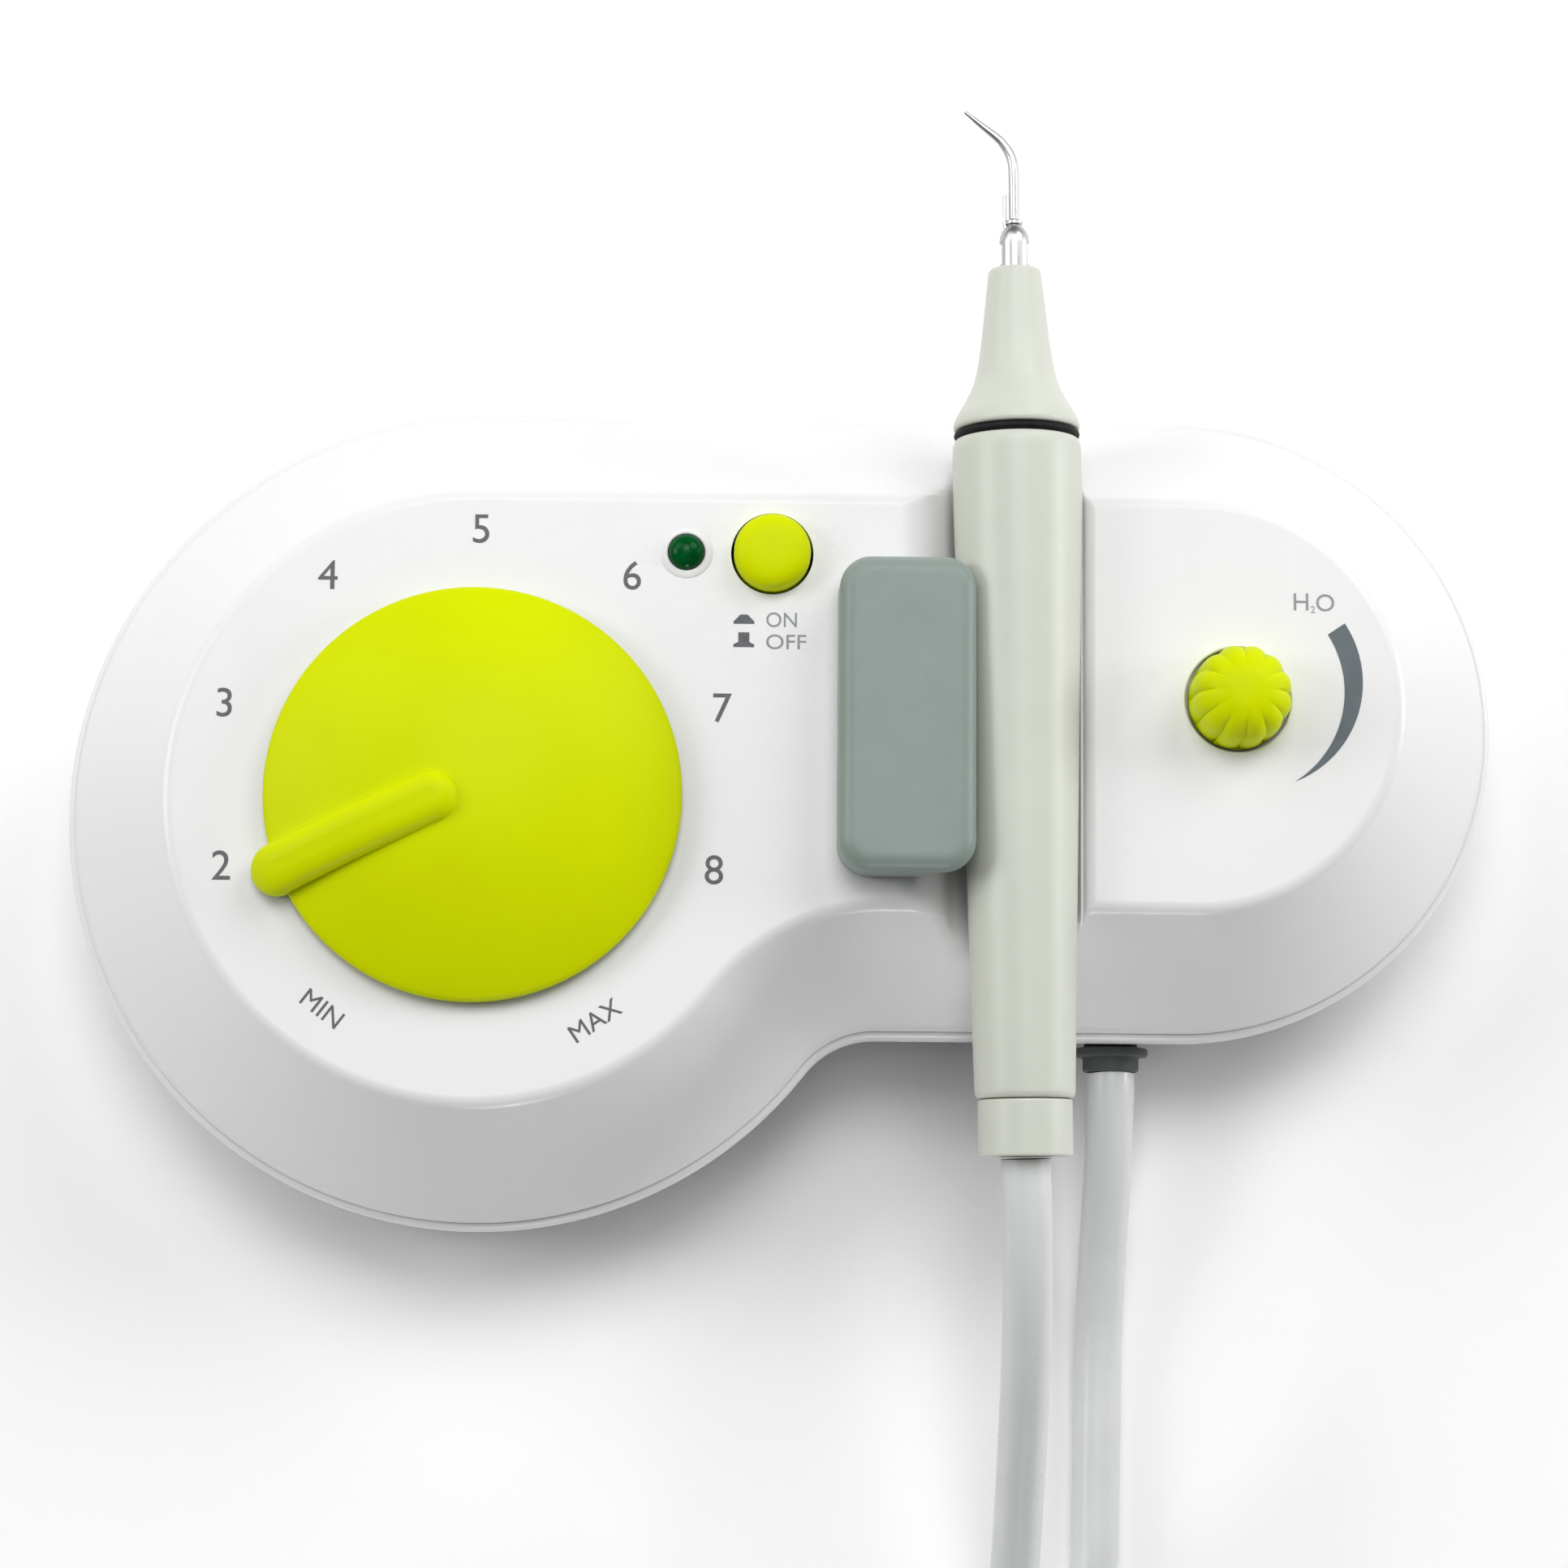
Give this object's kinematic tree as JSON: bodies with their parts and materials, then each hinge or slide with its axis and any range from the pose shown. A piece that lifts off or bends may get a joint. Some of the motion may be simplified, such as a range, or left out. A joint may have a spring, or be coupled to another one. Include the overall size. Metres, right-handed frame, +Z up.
{
  "type": "ultrasonic dental scaler",
  "caption": "Desktop ultrasonic scaler: rounded two-lobed console with a large power knob, a water knob, a push button and a handpiece lying in a cradle groove on its hose.",
  "frame": {"origin": "on the desk, under the middle of the console and handpiece, not counting the hose", "axes": "+Z up; -Y towards the user, where the hose leaves; +X to the user's right"},
  "size_m": [0.2123, 0.3383, 0.0603],
  "materials": {
    "white_plastic": "satin moulded white",
    "lime_plastic": "smooth moulded lime yellow",
    "grey_silicone": "soft matt grey",
    "handpiece_plastic": "satin pale grey-green",
    "black_rubber": "matt black",
    "steel": "polished",
    "titanium": "machined titanium",
    "brass": "machined",
    "ceramic": "silvered piezo ceramic",
    "green_led": "clear dark green lens, unlit",
    "board_green": "solder mask",
    "dark_plastic": "black moulded",
    "copper": "enamelled copper wire",
    "aluminium": "extruded",
    "hose_silicone": "satin pale grey silicone",
    "blue_plastic": "moulded blue"
  },
  "bodies": {
    "console": {"base_shell": "white_plastic", "board_screw_1": "steel", "board_screw_2": "steel", "board_screw_3": "steel", "board_screw_4": "steel", "case_screw_1": "steel", "case_screw_2": "steel", "case_screw_3": "steel", "case_screw_4": "steel", "control_chip": "dark_plastic", "filter_capacitor": "dark_plastic", "foot_switch_socket": "dark_plastic", "gland_nut": "dark_plastic", "handpiece_holder": "grey_silicone", "heat_sink": "aluminium", "holder_screw_1": "steel", "holder_screw_2": "steel", "hose_coil": "hose_silicone", "hose_from_console": "hose_silicone", "hose_gland": "black_rubber", "hose_to_handpiece": "hose_silicone", "inlet_tube": "blue_plastic", "latching_switch": "dark_plastic", "led_bezel": "white_plastic", "main_board": "board_green", "potentiometer": "dark_plastic", "potentiometer_nut": "steel", "power_socket": "dark_plastic", "power_transistor": "dark_plastic", "rubber_foot_1": "black_rubber", "rubber_foot_2": "black_rubber", "rubber_foot_3": "black_rubber", "rubber_foot_4": "black_rubber", "solenoid_valve": "dark_plastic", "status_led": "green_led", "supply_tube": "hose_silicone", "transformer_core": "dark_plastic", "transformer_winding": "copper", "upper_shell": "white_plastic", "valve_nut": "steel", "valve_tube": "hose_silicone", "water_inlet": "blue_plastic", "water_valve": "brass"},
    "power_knob": {"power_knob": "lime_plastic", "potentiometer_shaft": "brass"},
    "power_button": {"power_button": "lime_plastic", "button_plunger": "dark_plastic"},
    "water_knob": {"water_knob": "lime_plastic", "valve_stem": "steel"},
    "hose_connector": {"hose_connector": "handpiece_plastic", "connector_core": "brass"},
    "handpiece": {"handle_sleeve": "handpiece_plastic", "seal_ring": "black_rubber", "nose_cone": "handpiece_plastic", "scaler_tip": "steel", "transducer_horn": "titanium", "piezo_disc_1": "ceramic", "piezo_disc_2": "ceramic", "back_mass": "steel", "water_tube": "hose_silicone"}
  },
  "joints": [
    {"name": "power_knob_turn", "type": "hinge", "parent": "console", "child": "power_knob", "pos_m": [-0.04475, -0.02, 0.0495], "axis": [0, 0, 1], "range_deg": [-265, 32]},
    {"name": "power_button_press", "type": "slide", "parent": "console", "child": "power_button", "axis": [0, 0, -1], "range_m": [0, 0.003], "stiffness_N_per_m": 400, "springref_m": -0.002},
    {"name": "water_knob_turn", "type": "hinge", "parent": "console", "child": "water_knob", "pos_m": [0.065, -0.0049, 0.047], "axis": [0, 0, 1], "range_deg": [-180, 90]},
    {"name": "handpiece_lift", "type": "slide", "parent": "console", "child": "hose_connector", "axis": [0.5, 0, 0.866], "range_m": [0, 0.035]},
    {"name": "handpiece_pull_off", "type": "slide", "parent": "hose_connector", "child": "handpiece", "axis": [-0.0147, 0.9997, 0.0209], "range_m": [0, 0.025]}
  ]
}
